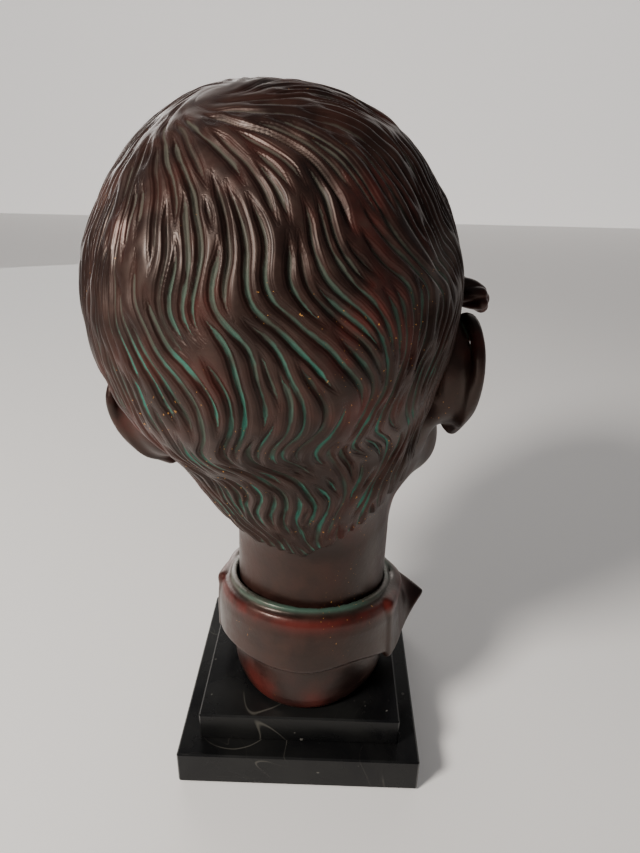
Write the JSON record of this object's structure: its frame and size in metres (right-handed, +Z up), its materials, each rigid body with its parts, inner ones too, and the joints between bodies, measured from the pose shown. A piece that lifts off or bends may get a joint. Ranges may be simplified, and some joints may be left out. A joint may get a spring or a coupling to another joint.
{
  "type": "bronze portrait head on marble plinth",
  "caption": "Life-size hollow bronze head of a youth with wavy hair and an open shirt collar, on a stepped black marble plinth.",
  "frame": {"origin": "centre of the underside of the plinth, on the surface it stands on", "axes": "+Z up; the face looks along -Y; the head's left side is towards +X"},
  "size_m": [0.1811, 0.2129, 0.321],
  "materials": {
    "bronze": "dark brown patina with verdigris in the recesses, waxed",
    "marble": "polished black with thin pale veins",
    "steel": "zinc plated",
    "fibre": "pressed fibre",
    "felt": "dark green baize"
  },
  "bodies": {
    "plinth": {"lower_slab": "marble", "felt_sheet": "felt", "upper_slab": "marble", "slab_dowels": "steel", "base_gasket": "fibre", "plain_washer": "steel"},
    "bust": {"collar_casting": "bronze", "head_casting": "bronze", "mounting_plate": "steel", "plate_screws": "steel", "threaded_stud": "steel", "upper_nut": "steel", "spring_washer": "steel", "lower_nut": "steel"}
  },
  "joints": [
    {"name": "bust_turn", "type": "hinge", "parent": "plinth", "child": "bust", "pos_m": [0, 0, 0.0368], "axis": [0, 0, 1], "continuous": true}
  ]
}
